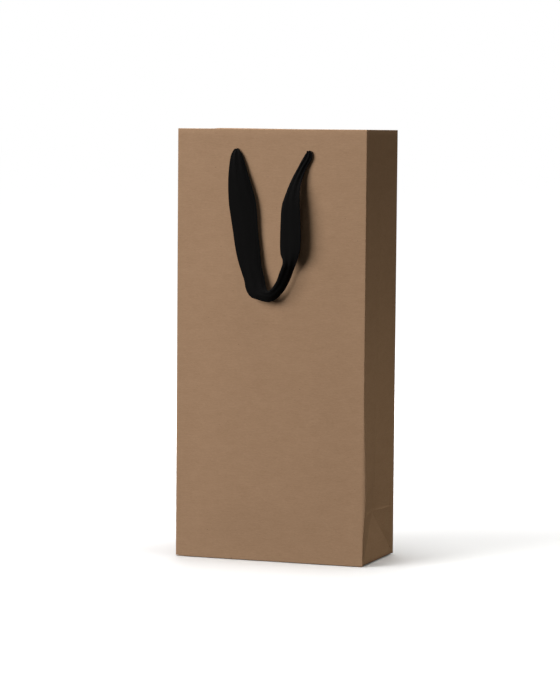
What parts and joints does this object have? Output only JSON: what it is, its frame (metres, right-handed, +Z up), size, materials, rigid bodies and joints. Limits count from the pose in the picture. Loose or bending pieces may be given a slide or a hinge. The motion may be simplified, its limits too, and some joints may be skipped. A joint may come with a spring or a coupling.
{
  "type": "wine gift bag",
  "caption": "Tall kraft paper gift bag for wine bottles, with pleated sides, a glued base and two tape handles; it folds flat and the handles swing up.",
  "frame": {"origin": "middle of the base, on the surface that the bag stands on", "axes": "+Z up to the open mouth, +X along the wide front wall, the front wall faces -Y and the back wall +Y"},
  "size_m": [0.18, 0.1178, 0.39],
  "materials": {
    "kraft_paper": "matt brown kraft paper with a faint laid grain",
    "kraft_turnings": "matt brown kraft paper, turned in and glued",
    "grey_board": "plain recycled board",
    "black_cotton_tape": "matt black woven cotton tape"
  },
  "bodies": {
    "front_wall": {"front_panel": "kraft_paper", "front_board": "grey_board", "front_hem": "kraft_turnings", "front_right_knot": "black_cotton_tape", "front_left_knot": "black_cotton_tape"},
    "right_gusset_front_half": {"right_gusset_front": "kraft_paper", "right_gusset_front_hem": "kraft_turnings"},
    "right_gusset_rear_half": {"right_gusset_rear": "kraft_paper", "right_gusset_rear_hem": "kraft_turnings"},
    "left_gusset_front_half": {"left_gusset_front": "kraft_paper", "left_gusset_front_hem": "kraft_turnings"},
    "left_gusset_rear_half": {"left_gusset_rear": "kraft_paper", "left_gusset_rear_hem": "kraft_turnings"},
    "back_wall": {"back_panel": "kraft_paper", "back_board": "grey_board", "back_hem": "kraft_turnings", "side_seam_tab": "kraft_turnings", "back_right_knot": "black_cotton_tape", "back_left_knot": "black_cotton_tape"},
    "back_wall_foot": {"back_panel_foot": "kraft_paper", "side_seam_tab_foot": "kraft_turnings"},
    "base": {"base_rear_flap": "kraft_turnings", "base_front_flap": "kraft_turnings", "base_left_flap": "kraft_turnings", "base_right_flap": "kraft_turnings", "base_card": "grey_board"},
    "right_base_facet": {"right_base_triangle": "kraft_paper"},
    "left_base_facet": {"left_base_triangle": "kraft_paper"},
    "right_rear_facet": {"right_rear_triangle": "kraft_paper"},
    "left_rear_facet": {"left_rear_triangle": "kraft_paper"},
    "front_tape_handle": {"front_handle": "black_cotton_tape"},
    "back_tape_handle": {"back_handle": "black_cotton_tape"}
  },
  "joints": [
    {"name": "flat_fold", "type": "hinge", "parent": "front_wall", "child": "right_gusset_front_half", "pos_m": [0.0897, -0.0434, 0.195], "axis": [0, 0, 1], "range_deg": [0, 88]},
    {"name": "right_gusset_pleat", "type": "hinge", "parent": "right_gusset_front_half", "child": "right_gusset_rear_half", "pos_m": [0.09015, 0, 0.195], "axis": [0, 0, 1], "range_deg": [-176, 0]},
    {"name": "back_wall_fold", "type": "hinge", "parent": "right_gusset_rear_half", "child": "back_wall", "pos_m": [0.0897, 0.0434, 0.195], "axis": [0, 0, 1], "range_deg": [0, 88], "deforming": ["front_right_knot", "front_left_knot", "back_right_knot", "back_left_knot"]},
    {"name": "left_gusset_fold", "type": "hinge", "parent": "front_wall", "child": "left_gusset_front_half", "pos_m": [-0.0897, -0.0434, 0.195], "axis": [0, 0, 1], "range_deg": [-88, 0]},
    {"name": "left_gusset_pleat", "type": "hinge", "parent": "left_gusset_front_half", "child": "left_gusset_rear_half", "pos_m": [-0.09015, 0, 0.195], "axis": [0, 0, 1], "range_deg": [0, 176]},
    {"name": "back_foot_fold", "type": "hinge", "parent": "back_wall", "child": "back_wall_foot", "pos_m": [0, 0.04515, 0.045], "axis": [1, 0, 0], "range_deg": [0, 176]},
    {"name": "base_fold", "type": "hinge", "parent": "back_wall_foot", "child": "base", "pos_m": [0, 0.0444, 0.0019], "axis": [1, 0, 0], "range_deg": [-88, 0]},
    {"name": "right_base_facet_fold", "type": "hinge", "parent": "base", "child": "right_base_facet", "pos_m": [0.0894, 0, 0.0019], "axis": [0, 1, 0], "range_deg": [-88, 0], "deforming": ["right_base_triangle"]},
    {"name": "left_base_facet_fold", "type": "hinge", "parent": "base", "child": "left_base_facet", "pos_m": [-0.0894, 0, 0.0019], "axis": [0, 1, 0], "range_deg": [0, 88], "deforming": ["left_base_triangle"]},
    {"name": "right_rear_facet_fold", "type": "hinge", "parent": "back_wall_foot", "child": "right_rear_facet", "pos_m": [0.0897, 0.0434, 0.0225], "axis": [0, 0, 1], "range_deg": [-88, 0], "deforming": ["right_rear_triangle"]},
    {"name": "left_rear_facet_fold", "type": "hinge", "parent": "back_wall_foot", "child": "left_rear_facet", "pos_m": [-0.0897, 0.0434, 0.0225], "axis": [0, 0, 1], "range_deg": [0, 88], "deforming": ["left_rear_triangle"]},
    {"name": "front_handle_swing", "type": "hinge", "parent": "front_wall", "child": "front_tape_handle", "pos_m": [0, -0.0463, 0.369], "axis": [-1, 0, 0], "range_deg": [0, 170]},
    {"name": "back_handle_swing", "type": "hinge", "parent": "back_wall", "child": "back_tape_handle", "pos_m": [0, 0.0463, 0.369], "axis": [1, 0, 0], "range_deg": [0, 170]}
  ],
  "couplings": [
    {"joint": "right_gusset_pleat", "follows": "flat_fold", "ratio": -2},
    {"joint": "back_wall_fold", "follows": "flat_fold", "ratio": 1},
    {"joint": "left_gusset_fold", "follows": "flat_fold", "ratio": -1},
    {"joint": "left_gusset_pleat", "follows": "flat_fold", "ratio": 2},
    {"joint": "back_foot_fold", "follows": "flat_fold", "ratio": 2},
    {"joint": "base_fold", "follows": "flat_fold", "ratio": -1},
    {"joint": "right_base_facet_fold", "follows": "flat_fold", "ratio": -1},
    {"joint": "left_base_facet_fold", "follows": "flat_fold", "ratio": 1},
    {"joint": "right_rear_facet_fold", "follows": "flat_fold", "ratio": -1},
    {"joint": "left_rear_facet_fold", "follows": "flat_fold", "ratio": 1}
  ]
}
